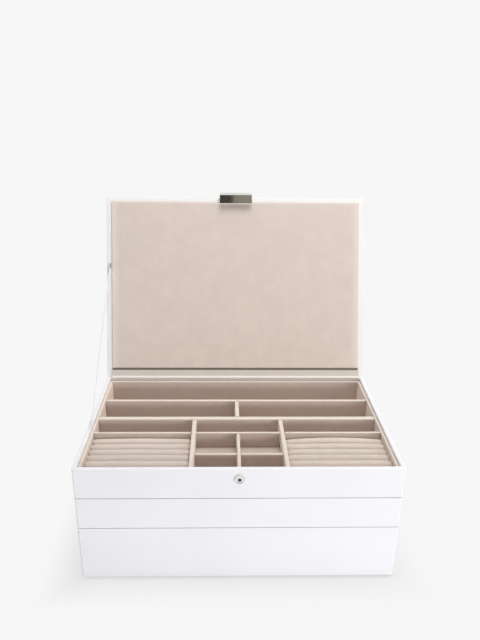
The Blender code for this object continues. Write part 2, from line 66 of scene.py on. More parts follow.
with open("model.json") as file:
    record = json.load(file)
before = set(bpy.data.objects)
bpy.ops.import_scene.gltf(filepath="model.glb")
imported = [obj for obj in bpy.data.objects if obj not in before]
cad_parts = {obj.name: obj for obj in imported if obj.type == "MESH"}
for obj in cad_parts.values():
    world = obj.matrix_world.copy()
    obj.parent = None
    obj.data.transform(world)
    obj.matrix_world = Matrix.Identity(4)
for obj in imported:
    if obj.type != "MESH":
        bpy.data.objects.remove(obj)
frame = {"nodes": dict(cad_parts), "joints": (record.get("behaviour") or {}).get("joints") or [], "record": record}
cad_low, cad_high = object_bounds()
NODES = frame["nodes"]
TRAYS = ("bottom", "middle", "top")

# Camera that took the reference view: place, tilt and the frame it fills
CAMERA_PLACE = (-0.0187, -0.7581, 0.5263)
CAMERA_PITCH_DEG = 24.55
CAMERA_YAW_DEG = 1.63
CAMERA_ROLL_DEG = 0.69
CAMERA_FOCAL_PX = 672.6
CAMERA_CENTRE_PX = (240.0, 394.3)
FRAME_PX = (480, 640)
SENSOR_MM = 36.0

# How far down from a board's top edge the painted highlight shows
TOP_HIGHLIGHT_BAND = 0.0005

# Thin cloth keeps an edge sharp where its faces turn by more than this
CLOTH_SHARP_DEG = 50


# Shader trees


class Wire:
    """One output of a material's tree. Arithmetic on it adds the Math nodes that work it out."""

    def __init__(self, nodes, links, socket):
        self.nodes = nodes
        self.links = links
        self.socket = socket

    def add(self, kind, settings=None, inputs=None, output=0):
        """A new node: its settings first, then the values or wires of its sockets."""
        node = self.nodes.new(kind)
        for name, value in (settings or {}).items():
            setattr(node, name, value)
        for name, value in (inputs or {}).items():
            if isinstance(value, Wire):
                self.links.new(value.socket, node.inputs[name])
            else:
                node.inputs[name].default_value = value
        return Wire(self.nodes, self.links, node.outputs[output])

    def maths(self, operation, first, second=0.0):
        """A Math node on one or two numbers."""
        return self.add("ShaderNodeMath", {"operation": operation}, {0: first, 1: second})

    def vectors(self, operation, *others, output=0):
        """A Vector Math node on this position and others."""
        inputs = dict(enumerate((self, *others)))
        return self.add("ShaderNodeVectorMath", {"operation": operation}, inputs, output)

    def below(self, limit):
        """1 where the value is under a limit, and 0 elsewhere."""
        return self.maths("LESS_THAN", self, limit)

    def larger(self, other):
        """The larger of two values."""
        return self.maths("MAXIMUM", self, other)

    def __add__(self, other):
        return self.maths("ADD", self, other)

    def __radd__(self, other):
        return self.maths("ADD", other, self)

    def __sub__(self, other):
        return self.maths("SUBTRACT", self, other)

    def __rsub__(self, other):
        return self.maths("SUBTRACT", other, self)

    def __mul__(self, other):
        return self.maths("MULTIPLY", self, other)

    def __rmul__(self, other):
        return self.maths("MULTIPLY", other, self)

    def step(self, low, high, start=0.0, end=1.0):
        """A smooth step from start to end as the value goes from low to high."""
        names = {"Value": self, "From Min": low, "From Max": high, "To Min": start, "To Max": end}
        return self.add("ShaderNodeMapRange", {"interpolation_type": "SMOOTHSTEP"}, names)

    def mix(self, first, second):
        """Two colours mixed by this value."""
        settings = {"data_type": "RGBA", "clamp_factor": True}
        return self.add("ShaderNodeMix", settings, {0: self, 6: first, 7: second}, 2)

    def shade(self, colour, start, end):
        """A colour whose tone goes from start to end as this value goes from 0 to 1."""
        return self.mix(opaque(toned(colour, start)), opaque(toned(colour, end)))

    def stretched(self, scale):
        """A position scaled along each axis."""
        return self.vectors("MULTIPLY", scale)

    def part(self, axis):
        """One coordinate of a position."""
        return self.add("ShaderNodeSeparateXYZ", None, {"Vector": self}, axis)

    def aside(self, axis):
        """How far a position lies from the middle of the box along one axis."""
        return self.maths("ABSOLUTE", self.part(axis))

    def along(self, start, direction):
        """How far a position lies from a point, measured along a direction."""
        return self.vectors("SUBTRACT", start).vectors("DOT_PRODUCT", direction, output=1)

    def grain(self, scale, detail=2.0, roughness=0.5, distortion=0.0):
        """Noise from 0 to 1 over a position, at a scale in bumps per metre."""
        names = {
            "Vector": self,
            "Scale": scale,
            "Detail": detail,
            "Roughness": roughness,
            "Distortion": distortion,
        }
        return self.add("ShaderNodeTexNoise", None, names)

    def pebbles(self, scale):
        """Cells over a position, as leather grain has them, by how far their edges are."""
        names = {"Vector": self, "Scale": scale}
        return self.add("ShaderNodeTexVoronoi", {"feature": "DISTANCE_TO_EDGE"}, names)

    def bump(self, strength, distance, below=None):
        """A normal from this height, over the normal below it."""
        names = {"Height": self, "Strength": strength, "Distance": distance}
        if below is not None:
            names["Normal"] = below
        return self.add("ShaderNodeBump", None, names)


def opaque(colour):
    """A colour with full alpha."""
    return (*colour, 1.0)


def toned(colour, factor):
    """A colour made lighter or darker by a factor."""
    return tuple(min(1.0, channel * factor) for channel in colour)


class Finish:
    """A new material with its Principled shader, and positions that move with the piece."""

    def __init__(self, name, **constants):
        self.material = bpy.data.materials.new(name)
        self.material.use_nodes = True
        tree = self.material.node_tree
        self.nodes, self.links = tree.nodes, tree.links
        self.shader = self.nodes["Principled BSDF"]
        for socket, value in constants.items():
            self.shader.inputs[socket.replace("_", " ")].default_value = value
        self.place = self.wire(self.nodes.new("ShaderNodeTexCoord").outputs["Object"])

    def wire(self, socket):
        """A wire from one of the material's sockets."""
        return Wire(self.nodes, self.links, socket)

    def feed(self, socket, wire):
        """Lets a wire set one input of the Principled shader."""
        self.links.new(wire.socket, self.shader.inputs[socket])

    def glow(self, colour):
        """A plain colour that no light changes."""
        inputs = {"Color": opaque(colour), "Strength": 1.0}
        return self.place.add("ShaderNodeEmission", None, inputs)

    def show(self, wire):
        """Shows a wire as the surface, in place of the Principled shader."""
        output = next(node for node in self.nodes if node.type == "OUTPUT_MATERIAL")
        self.links.new(wire.socket, output.inputs["Surface"])


# Finishes


def tray_velvet(name, tray, settings):
    """Velvet of a tray's liner and dividers, with a painted highlight along their tops."""
    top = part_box(f"{tray}_liner")[1].z

    def lit_top(place):
        return place.part(2).step(top - TOP_HIGHLIGHT_BAND, top - TOP_HIGHLIGHT_BAND / 3)

    return velvet(name, settings.velvet_colour, 1.0, painted_highlight=(lit_top, settings.velvet_top_highlight))


def leatherette(name, settings, linings=()):
    """Fine-grained leatherette: pebbles, soft creases and a satin coat. Each lining is where it is, as a function
    of the position, and its colour and added roughness; some linings are painted shade."""
    finish = Finish(name, IOR=1.48, Specular_IOR_Level=0.5)
    place = finish.place
    pebbles_per_m = settings.leather_grain_per_m
    sway = (0.0009,) * 3
    bent = place.grain(pebbles_per_m * 0.4, 2.0).vectors("MULTIPLY_ADD", sway, place)
    cells = bent.pebbles(pebbles_per_m)
    pores = place.grain(pebbles_per_m * 2.6, 3.0, 0.6)
    creases = place.stretched((1.0, 1.0, 2.4)).grain(34.0, 4.0, 0.55, 0.6)
    height = cells.step(0.0, 0.16) * 0.75 + pores * 0.25
    finish.feed("Normal", creases.bump(0.10, 0.0006, height.bump(0.26, 0.00012)))
    cloud = place.grain(9.0, 2.0, 0.5)
    tone = cloud.step(0.35, 0.65) * 0.6 + height * 0.4
    colour = tone.shade(settings.leather_colour, 0.965, 1.0)
    roughness = 0.50 - height * 0.10 + pores * 0.04
    for where, lining_colour, dulling in linings:
        covered = where(place)
        colour = covered.mix(colour, opaque(lining_colour))
        roughness = roughness + covered * dulling
    finish.feed("Base Color", colour)
    finish.feed("Roughness", roughness)
    return finish.material


def velvet(name, colour, nap=0.35, pile=1.0, painted_highlight=None):
    """Short-pile velvet: brushed clouds, a fine fuzz and a soft sheen. A painted highlight is where it is, as a
    function of the position, and its lighter colour."""
    finish = Finish(
        name,
        Specular_IOR_Level=0.12,
        Sheen_Weight=nap,
        Sheen_Roughness=0.45,
        Sheen_Tint=opaque(toned(colour, 1.7)),
    )
    place = finish.place
    brushed = place.grain(48.0, 4.0, 0.6, 0.7)
    strokes = place.stretched((0.4, 1.0, 1.0)).grain(260.0, 3.0, 0.6)
    fuzz = place.grain(2400.0, 2.0, 0.7)
    tone = brushed.step(0.28, 0.74) * 0.40 + strokes * 0.34 + fuzz * 0.26
    cloth = tone.shade(colour, 1 - 0.09 * pile, 1 + 0.06 * pile)
    # A lighter colour painted where light falls: divider and liner tops, the pad's edges, the hinge's fold
    if painted_highlight:
        where, highlight_colour = painted_highlight
        cloth = where(place).mix(cloth, opaque(highlight_colour))
    finish.feed("Base Color", cloth)
    finish.feed("Roughness", fuzz.step(0.2, 0.8, 0.84, 0.98))
    finish.feed("Normal", strokes.bump(0.10, 0.0004, fuzz.bump(0.45, 0.00018)))
    return finish.material


def ribbon_weave(name, colour, end, head_shade_colour, head_shade_length):
    """Satin ribbon: fine ribs across it, a soft gloss, and painted shade at its head, where it tucks in beside the
    pad.
    """
    finish = Finish(name, Specular_IOR_Level=0.35, Sheen_Weight=0.2, Sheen_Roughness=0.4)
    place = finish.place
    weave = {"Vector": place, "Scale": 900.0, "Distortion": 0.4}
    ribs = place.add("ShaderNodeTexWave", {"bands_direction": "Z"}, weave)
    thread = place.grain(1800.0, 2.0)
    satin = (ribs * 0.4 + thread * 0.6).shade(colour, 0.96, 1.0)
    distance = place.vectors("SUBTRACT", end).vectors("LENGTH", output=1)
    # Painted shade near the ribbon's head
    finish.feed("Base Color", distance.below(head_shade_length).mix(satin, opaque(head_shade_colour)))
    finish.feed("Roughness", thread.step(0.2, 0.8, 0.48, 0.66))
    finish.feed("Normal", ribs.bump(0.08, 0.00004))
    return finish.material


def polished(name, colour, roughness):
    """Plated metal with hairline polishing marks and faint handling."""
    finish = Finish(name, Metallic=1.0)
    place = finish.place
    hairs = place.stretched((0.08, 1.0, 1.0)).grain(2600.0, 2.0, 0.6)
    smears = place.grain(120.0, 3.0, 0.6, 0.5)
    handled = smears.step(0.45, 0.75)
    finish.feed("Base Color", handled.shade(colour, 1.0, 0.94))
    finish.feed("Roughness", hairs.step(0.3, 0.7, roughness, roughness * 1.35) + handled * 0.04)
    finish.feed("Normal", hairs.bump(0.05, 0.00002))
    return finish.material


def speckled(finish, smoothest, roughest):
    """Roughens a plated finish with a fine speckle, and returns the speckle."""
    speckle = finish.place.grain(1500.0, 2.0)
    finish.feed("Roughness", speckle.step(0.3, 0.7, smoothest, roughest))
    finish.feed("Normal", speckle.bump(0.08, 0.00003))
    return speckle


def dark_face(name, colour):
    """Nickelled face of the hasp's magnet."""
    finish = Finish(name, Metallic=0.7)
    finish.feed("Base Color", speckled(finish, 0.22, 0.34).shade(colour, 0.8, 1.2))
    return finish.material


def dished(name, bright, dark, centre, radius):
    """Plated disc about an axis along Y whose middle is a dark hollow."""
    finish = Finish(name, Metallic=0.9)
    speckled(finish, 0.26, 0.36)
    flat = finish.place.vectors("SUBTRACT", centre).stretched((1.0, 0.0, 1.0))
    outside = flat.vectors("LENGTH", output=1).step(radius * 0.8, radius * 1.1)
    finish.feed("Base Color", outside.mix(opaque(dark), opaque(bright)))
    return finish.material


def give(piece, material):
    """Makes a material the piece's only one."""
    piece.data.materials.clear()
    piece.data.materials.append(material)


# Meshes


def new_piece(name, bm, material, smooth_deg=None):
    """An object from a bmesh, shaded smooth, with its finish."""
    bmesh.ops.recalc_face_normals(bm, faces=bm.faces)
    if bm.calc_volume(signed=True) < 0:
        bmesh.ops.reverse_faces(bm, faces=bm.faces)
    mesh = bpy.data.meshes.new(name)
    bm.to_mesh(mesh)
    bm.free()
    mesh.shade_smooth()
    if smooth_deg is not None:
        mesh.set_sharp_from_angle(angle=math.radians(smooth_deg))
    piece = bpy.data.objects.new(name, mesh)
    bpy.context.scene.collection.objects.link(piece)
    mesh.materials.append(material)
    return piece


def loft(rings):
    """A closed skin through rings of equally many points, capped at both ends."""
    bm = bmesh.new()
    loops = [[bm.verts.new(point) for point in ring] for ring in rings]
    count = len(loops[0])
    for lower, upper in zip(loops, loops[1:]):
        for i in range(count):
            j = (i + 1) % count
            bm.faces.new((lower[i], lower[j], upper[j], upper[i]))
    bm.faces.new(list(reversed(loops[0])))
    bm.faces.new(loops[-1])
    return bm


def sliced(bm, axis, low, high, pitch):
    """Cuts a mesh across one axis about every pitch, so that it can bend there. A vertex within the
    tolerance of a cut counts as on it."""
    tolerance = 1e-7
    count = max(1, round((high - low) / pitch))
    normal = [0.0, 0.0, 0.0]
    normal[axis] = 1.0
    for index in range(1, count):
        point = [0.0, 0.0, 0.0]
        point[axis] = low + (high - low) * index / count
        everything = bm.verts[:] + bm.edges[:] + bm.faces[:]
        bmesh.ops.bisect_plane(bm, geom=everything, plane_co=point, plane_no=normal, dist=tolerance)


def rounded_outline(half_x, half_y, radius, z, steps):
    """Points of a rectangle with round corners, anticlockwise at height z."""
    points = []
    for corner, (side_x, side_y) in enumerate(((1, 1), (-1, 1), (-1, -1), (1, -1))):
        for step in range(steps + 1):
            angle = math.radians(90) * (corner + step / steps)
            x = side_x * (half_x - radius) + radius * math.cos(angle)
            y = side_y * (half_y - radius) + radius * math.sin(angle)
            points.append((x, y, z))
    return points


def soft_pad(half_x, half_y, corner, thickness, edge, crown, reach, steps=8):
    """A padded board from z 0 up to its thickness: tight round edges, then a slow crown."""
    back_edge = edge * 0.35
    least_radius = edge * 0.3
    shoulder = thickness - crown
    rings = [(back_edge, 0.0), (0.0, back_edge)]
    for step in range(1, steps + 1):
        angle = math.radians(90) * step / steps
        rings.append((edge * (1 - math.cos(angle)), shoulder - edge * (1 - math.sin(angle))))
    for step in range(1, steps * 2 + 1):
        share = step / steps / 2
        rise = math.sin(math.radians(90) * share)
        rings.append((edge + reach * share, shoulder + crown * rise))
    outlines = []
    for inset, z in rings:
        radius = max(corner - inset, least_radius)
        outlines.append(rounded_outline(half_x - inset, half_y - inset, radius, z, steps))
    return loft(outlines)


def ripple(point, scale, seed):
    """Smooth noise from -1 to 1 at a point, at a scale in bumps per metre. Each seed reads another
    part of the noise."""
    return noise.noise(Vector(point) * scale + Vector((seed, seed * 0.37, seed * 0.71)))


def strip_mesh(path, thickness, low, high, pitch):
    """A flat strip of cloth along X whose section follows a path of (y, z) points."""
    sides = [[], []]
    for index, point in enumerate(path):
        before = path[max(0, index - 1)]
        after = path[min(len(path) - 1, index + 1)]
        run = (after - before).normalized()
        across = Vector((-run.y, run.x)) * thickness / 2
        sides[0].append(point + across)
        sides[1].append(point - across)
    section = sides[0] + sides[1][::-1]
    count = max(2, round((high - low) / pitch))
    rings = []
    for index in range(count + 1):
        x = low + (high - low) * index / count
        rings.append([(x, point.x, point.y) for point in section])
    return loft(rings)


def bend_path(first, corner, last, rounding, bend_steps=8, straight_steps=4):
    """Points from first to last that round their corner."""
    near = corner + (first - corner).normalized() * rounding
    far = corner + (last - corner).normalized() * rounding
    points = [first + (near - first) * step / straight_steps for step in range(straight_steps)]
    for step in range(bend_steps + 1):
        share = step / bend_steps
        points.append(near * (1 - share) ** 2 + corner * 2 * share * (1 - share) + far * share**2)
    for step in range(1, straight_steps + 1):
        points.append(far + (last - far) * step / straight_steps)
    return points


# The frame


def joint_named(name):
    """The frame's joint of that name."""
    for joint in frame["joints"]:
        if joint["name"] == name:
            return joint
    raise RuntimeError(f"the frame has no joint named {name}")


def body_of(node):
    """The body that a node belongs to."""
    for body, members in frame["record"]["behaviour"]["bodies"].items():
        if node in members:
            return body
    raise RuntimeError(f"no body holds {node}")


def box_middle(node):
    """The middle of a node's box, and half its size."""
    low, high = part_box(node)
    return (low + high) / 2, (high - low) / 2


# The lid's hinge


LID_JOINT = joint_named("lid_hinge")
HINGE = Vector(LID_JOINT["pos_m"])
LID_OPEN = math.radians(LID_JOINT["range_deg"][1])

# The open lid's own directions: from its hinge to its free edge, and out of its back
LID_ALONG = Vector((0, math.cos(math.pi - LID_OPEN), math.sin(math.pi - LID_OPEN)))
LID_BEHIND = Vector((0, LID_ALONG.z, -LID_ALONG.y))


def lid_matrix():
    """From the closed lid, with its origin on the hinge, to where the open lid stands."""
    return Matrix.Translation(HINGE) @ Matrix.Rotation(-LID_OPEN, 4, "X")


def closed_box(node):
    """Lowest and highest corner of a lid's node in the closed lid's own axes."""
    inverse = lid_matrix().inverted()
    points = [inverse @ vertex.co for vertex in NODES[node].data.vertices]
    low = Vector([min(point[axis] for point in points) for axis in range(3)])
    high = Vector([max(point[axis] for point in points) for axis in range(3)])
    return low, high


# Settings


def colour_setting(name, description, default):
    """A setting for a colour."""
    return FloatVectorProperty(
        name=name, description=description, default=default, subtype="COLOR", size=3, min=0, max=1
    )


def power_setting(name, description, default):
    """A setting for how strong a light is."""
    return FloatProperty(name=name, description=description, default=default, min=0.0)


class BoxFinishes(PropertyGroup):
    """Colours and sizes that a user would change."""

    leather_colour: colour_setting(
        "Leatherette", "Colour of the trays' and the lid's covering", (0.900, 0.890, 0.928)
    )
    leather_grain_per_m: FloatProperty(
        name="Leather grain",
        description="Pebbles of the leatherette's grain in one metre",
        default=1150.0,
        min=200.0,
        max=4000.0,
    )
    velvet_colour: colour_setting(
        "Velvet", "Colour of the liners and dividers", (0.630, 0.526, 0.466)
    )
    # Painted highlight: a lighter velvet where the top light falls on the tops of dividers and liners
    velvet_top_highlight: colour_setting(
        "Velvet edges",
        "Colour of the velvet where it turns over a divider's or a liner's top",
        (0.800, 0.715, 0.650),
    )
    pad_colour: colour_setting("Pad velvet", "Colour of the lid's pad", (0.632, 0.545, 0.491))
    # Painted highlight: a lighter velvet along the pad's sides and far edge, where its rounded edges catch the
    # light
    pad_edge_highlight: colour_setting(
        "Pad edge",
        "Colour of the pad's velvet where it turns over its sides and its far edge",
        (0.700, 0.612, 0.560),
    )
    # Near black, as painted shade in the seams between stacked trays
    seam_shade_colour: colour_setting(
        "Bare board", "Colour of the board under the trays' walls", (0.090, 0.080, 0.075)
    )
    # The lid's leatherette: warmer than the trays', and darker as painted shade, since the lid takes more light
    shaded_border_colour: colour_setting(
        "Lid border", "Colour of the leatherette round the lid's pad", (0.800, 0.785, 0.765)
    )
    roll_colour: colour_setting(
        "Ring rolls", "Colour of the rolls that hold rings", (0.724, 0.624, 0.558)
    )
    # The full colour shows on the hinge's fold as a painted highlight; the strip on the lid and the shells' rear
    # walls take darker tones of it as painted shade
    lining_colour: colour_setting(
        "Hinge lining", "Colour of the cloth strip inside the hinge", (0.790, 0.720, 0.655)
    )
    ribbon_colour: colour_setting(
        "Ribbon", "Colour of the ribbon that stops the lid", (0.885, 0.895, 0.940)
    )
    # Near black, as painted shade where the ribbon's head tucks in beside the pad
    head_shade_colour: colour_setting(
        "Ribbon tab", "Colour of the tab over the ribbon's glued end", (0.105, 0.090, 0.085)
    )
    metal_colour: colour_setting("Nickel", "Colour of the hasp and the stud", (0.850, 0.835, 0.800))
    core_colour: colour_setting(
        "Dark metal", "Colour of the stud's core and the hasp's magnet", (0.045, 0.042, 0.040)
    )
    pad_crown: FloatProperty(
        name="Pad crown",
        description="How much the lid's pad swells towards its middle",
        default=0.0006,
        min=0.0,
        max=0.003,
        unit="LENGTH",
    )
    roll_sides: IntProperty(
        name="Roll sides",
        description="Points round each ring roll",
        default=28,
        min=8,
        max=64,
    )


class StudioLight(PropertyGroup):
    """Light and backdrop."""

    backdrop_colour: colour_setting(
        "Backdrop", "Colour of the floor and of what lies behind the box", (0.930, 0.930, 0.930)
    )
    top_watts: power_setting("Top", "Power of the softbox above the box", 13.0)
    front_watts: power_setting("Front", "Power of the low softbox before the box", 18.3)
    right_watts: power_setting("Right", "Power of the softbox at the right", 2.8)
    left_watts: power_setting("Left", "Power of the softbox at the left", 2.2)
    back_watts: power_setting("Back", "Power of the low softbox behind the box", 8.0)
    ambient: power_setting("Ambient", "Strength of the even light all round", 0.25)


# Operators


class CameraOperator(Operator):
    """Set the camera at the reference view"""

    bl_idname = "jewelry_box.camera"
    bl_label = "Camera"

    nearest_seen = 0.01

    def execute(self, context):
        pitch = math.radians(CAMERA_PITCH_DEG)
        yaw = math.radians(CAMERA_YAW_DEG)
        roll = math.radians(CAMERA_ROLL_DEG)
        level = math.cos(pitch)
        ahead = Vector((math.sin(yaw) * level, math.cos(yaw) * level, -math.sin(pitch)))
        right = Vector((math.cos(yaw), -math.sin(yaw), 0))
        up = right.cross(ahead)
        right, up = (
            right * math.cos(roll) + up * math.sin(roll),
            up * math.cos(roll) - right * math.sin(roll),
        )
        turn = Matrix((right, up, -ahead)).transposed().to_4x4()
        data = bpy.data.cameras.new("camera")
        longer = max(FRAME_PX)
        data.sensor_width = SENSOR_MM
        data.lens = CAMERA_FOCAL_PX * SENSOR_MM / longer
        data.shift_x = (FRAME_PX[0] / 2 - CAMERA_CENTRE_PX[0]) / longer
        data.shift_y = (CAMERA_CENTRE_PX[1] - FRAME_PX[1] / 2) / longer
        data.clip_start = self.nearest_seen
        camera = bpy.data.objects.new("camera", data)
        camera.matrix_world = Matrix.Translation(CAMERA_PLACE) @ turn
        context.scene.collection.objects.link(camera)
        context.scene.camera = camera
        return {"FINISHED"}


def softbox(name, place, aim, size, watts):
    """A rectangular area light that looks at a point."""
    data = bpy.data.lights.new(name, "AREA")
    data.shape = "RECTANGLE"
    data.size, data.size_y = size
    data.energy = watts
    lamp = bpy.data.objects.new(name, data)
    lamp.location = place
    lamp.rotation_euler = (Vector(aim) - Vector(place)).to_track_quat("-Z", "Y").to_euler()
    lamp.visible_glossy = False
    bpy.context.scene.collection.objects.link(lamp)


def seen_by_eye(wire):
    """1 for what the camera, a mirror or clear glass sees, and 0 for light that falls on things."""
    path = wire.add("ShaderNodeLightPath")
    outputs = path.socket.node.outputs
    eye, mirror, clear = (
        Wire(wire.nodes, wire.links, outputs[name])
        for name in ("Is Camera Ray", "Is Glossy Ray", "Is Transmission Ray")
    )
    return eye.larger(mirror).larger(clear)


class StageOperator(Operator):
    """Make the floor, the backdrop and the studio lights"""

    bl_idname = "jewelry_box.stage"
    bl_label = "Stage and lights"

    white = (1.0, 1.0, 1.0)
    floor_reach = 3.0
    floor_cells = 24
    floor_roughness = 0.9
    shadow_reach = 0.06
    shadow_share = 0.31
    floor_tone = 0.80
    aim = (0.0, 0.05, 0.15)

    # Each lamp's name, place and size
    lamps = (
        ("top", (0.15, 0.0, 1.50), (1.00, 0.90)),
        ("front", (0.75, -1.75, 0.30), (0.90, 0.48)),
        ("right", (1.25, 0.05, 0.85), (0.50, 0.50)),
        ("left", (-1.25, 0.05, 0.85), (0.50, 0.50)),
        ("back", (0.30, 1.60, 0.60), (0.90, 0.50)),
    )
    card_height = 1.40
    card_reach = (0.36, 0.66)

    # Each card's name, its ends along X and its colour
    cards = (
        ("dark_card", -0.14, 0.012, (0.050, 0.042, 0.038)),
        ("olive_card", 0.012, 0.18, (0.270, 0.250, 0.205)),
    )

    def execute(self, context):
        light = context.scene.jewelry_box_light
        self.world(context.scene, light)
        self.floor(light)
        for name, place, size in self.lamps:
            softbox(name, place, self.aim, size, getattr(light, f"{name}_watts"))
        for card in self.cards:
            self.card(*card)
        return {"FINISHED"}

    def card(self, name, low_x, high_x, colour):
        """A card above the box that only polished metal reflects."""
        bm = bmesh.new()
        near, far = self.card_reach
        corners = ((low_x, near), (high_x, near), (high_x, far), (low_x, far))
        bm.faces.new([bm.verts.new((x, y, self.card_height)) for x, y in corners])
        finish = Finish(name)
        finish.show(finish.glow(colour))
        card = new_piece(name, bm, finish.material)
        card.visible_camera = False
        card.visible_diffuse = False
        card.visible_transmission = False
        card.visible_shadow = False

    def world(self, scene, light):
        """The backdrop as the eye sees it, and white ambient light for everything else."""
        world = bpy.data.worlds.new("studio")
        world.use_nodes = True
        tree = world.node_tree
        background = tree.nodes["Background"]
        start = Wire(tree.nodes, tree.links, background.outputs[0])
        seen = seen_by_eye(start)
        colour = seen.mix(opaque(self.white), opaque(light.backdrop_colour))
        tree.links.new(colour.socket, background.inputs["Color"])
        strength = seen + (1 - seen) * light.ambient
        tree.links.new(strength.socket, background.inputs["Strength"])
        scene.world = world
        scene.view_settings.view_transform = "Standard"

    def floor(self, light):
        """A floor that the eye sees as the backdrop, with some of its own shading near the box."""
        bm = bmesh.new()
        cells = self.floor_cells
        bmesh.ops.create_grid(bm, x_segments=cells, y_segments=cells, size=self.floor_reach)
        finish = Finish(
            "floor",
            Base_Color=opaque(toned(light.backdrop_colour, self.floor_tone)),
            Roughness=self.floor_roughness,
            Specular_IOR_Level=0.0,
        )
        place = finish.place
        from_box = (place.aside(0) - cad_high.x).larger(place.aside(1) + cad_low.y)
        plain = from_box.step(0.0, self.shadow_reach, 1 - self.shadow_share, 1.0)
        lit = finish.wire(finish.shader.outputs[0])
        layers = {0: seen_by_eye(place) * plain, 1: lit, 2: finish.glow(light.backdrop_colour)}
        finish.show(place.add("ShaderNodeMixShader", None, layers))
        floor = new_piece("floor", bm, finish.material)


class TraysOperator(Operator):
    """Cover the trays' shells and the lid with leatherette, and line them with velvet"""

    bl_idname = "jewelry_box.trays"
    bl_label = "Trays"

    skin = 0.0004
    pad_tuck = 0.004

    # Each lining's tone, as a share of the colour it is set by, and how much duller it is
    within_tone, within_dulling = 1.1, 0.30
    # The rear wall's cloth is darkened as painted shade
    rear_tone, rear_dulling = 0.72, 0.0
    underside_dulling = 0.35
    border_dulling = 0.05
    crease_tone, crease_dulling = 0.36, 0.40
    base_tone = 0.85

    def execute(self, context):
        finishes = context.scene.jewelry_box
        covering = toned(finishes.shaded_border_colour, self.within_tone)
        shaded_rear_cloth = toned(finishes.lining_colour, self.rear_tone)
        # Velvet darkened to about a third, as painted shade in the crease under the pad
        crease = toned(finishes.velvet_colour, self.crease_tone)
        for tray in TRAYS:
            linings = [
                (self.within(tray), covering, self.within_dulling),
                (self.rear_wall, shaded_rear_cloth, self.rear_dulling),
                (self.underside(tray), finishes.seam_shade_colour, self.underside_dulling),
            ]
            give(NODES[f"{tray}_shell"], leatherette(f"{tray}_leather", finishes, linings))
            give(NODES[f"{tray}_liner"], tray_velvet(f"{tray}_liner_velvet", tray, finishes))
            base = velvet(f"{tray}_base_velvet", toned(finishes.velvet_colour, self.base_tone))
            give(NODES[f"{tray}_plinth"], base)
        give(NODES["raised_floor"], tray_velvet("raised_floor_velvet", "top", finishes))
        # The lid's inner face gets the darker leatherette, as painted shade
        linings = [
            (self.inner_face, finishes.shaded_border_colour, self.border_dulling),
            (self.painted_crease_shade, crease, self.crease_dulling),
        ]
        give(NODES["lid_board"], leatherette("lid_leather", finishes, linings))
        return {"FINISHED"}

    def within(self, tray):
        """Where a shell's covering turns over its rim and down to the liner."""
        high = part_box(f"{tray}_liner")[1]

        def lined(place):
            across = place.aside(0).below(high.x + self.skin)
            return across * place.aside(1).below(high.y + self.skin)

        return lined

    def rear_wall(self, place):
        """Where a shell's rear wall is covered by the hinge's cloth inside it, in a darker tone as painted shade.
        """
        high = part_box("top_liner")[1]
        across = place.aside(0).below(high.x)
        inside = place.part(1).below(high.y + self.skin)
        return across * inside * (1 - place.part(1).below(high.y - self.skin))

    def underside(self, tray):
        """Where a shell rests on what is below it: bare board under the wrapped edge, dark as painted shade in the
        seams between trays.
        """
        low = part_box(f"{tray}_shell")[0]
        return lambda place: place.part(2).below(low.z + self.skin / 2)

    def inner_face(self, place):
        """Where the lid's board faces the trays."""
        return place.along(HINGE, LID_BEHIND).below(self.skin)

    def painted_crease_shade(self, place):
        """Where the lid's board between its hinge and its pad is darkened as painted shade in the crease."""
        high = closed_box("lid_pad")[1]
        near = place.along(HINGE, LID_ALONG).below(self.pad_tuck - high.y)
        across = place.aside(0).below(high.x)
        return self.inner_face(place) * near * across


class DividersOperator(Operator):
    """Model each divider as a board wrapped in velvet, with soft uneven edges"""

    bl_idname = "jewelry_box.dividers"
    bl_label = "Dividers"

    edge = 0.0011
    edge_segments = 4
    slice_pitch = 0.006
    dent = 0.00013
    dents_per_m = 60.0

    def execute(self, context):
        finishes = context.scene.jewelry_box
        cloths = {tray: tray_velvet(f"{tray}_divider_velvet", tray, finishes) for tray in TRAYS}
        names = [name for name in sorted(NODES) if "divider" in name]
        for seed, name in enumerate(names, 1):
            body = body_of(name)
            board = self.wrap(name, seed, cloths[body.split("_")[0]])
            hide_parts(name)
            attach(board, body)
        return {"FINISHED"}

    def wrap(self, name, seed, material):
        middle, half = box_middle(name)
        bm = bmesh.new()
        bmesh.ops.create_cube(bm, size=2.0)
        bm.transform(Matrix.Translation(middle) @ Matrix.Diagonal((*half, 1.0)))
        bmesh.ops.bevel(
            bm,
            geom=list(bm.edges),
            offset=self.edge,
            segments=self.edge_segments,
            profile=0.5,
            affect="EDGES",
        )
        axis = 0 if half.x > half.y else 1
        sliced(bm, axis, middle[axis] - half[axis], middle[axis] + half[axis], self.slice_pitch)
        bm.normal_update()
        for vertex in bm.verts:
            dent = (1 + ripple(vertex.co, self.dents_per_m, seed)) / 2 * self.dent
            vertex.co -= vertex.normal * dent
        return new_piece("soft_" + name, bm, material)


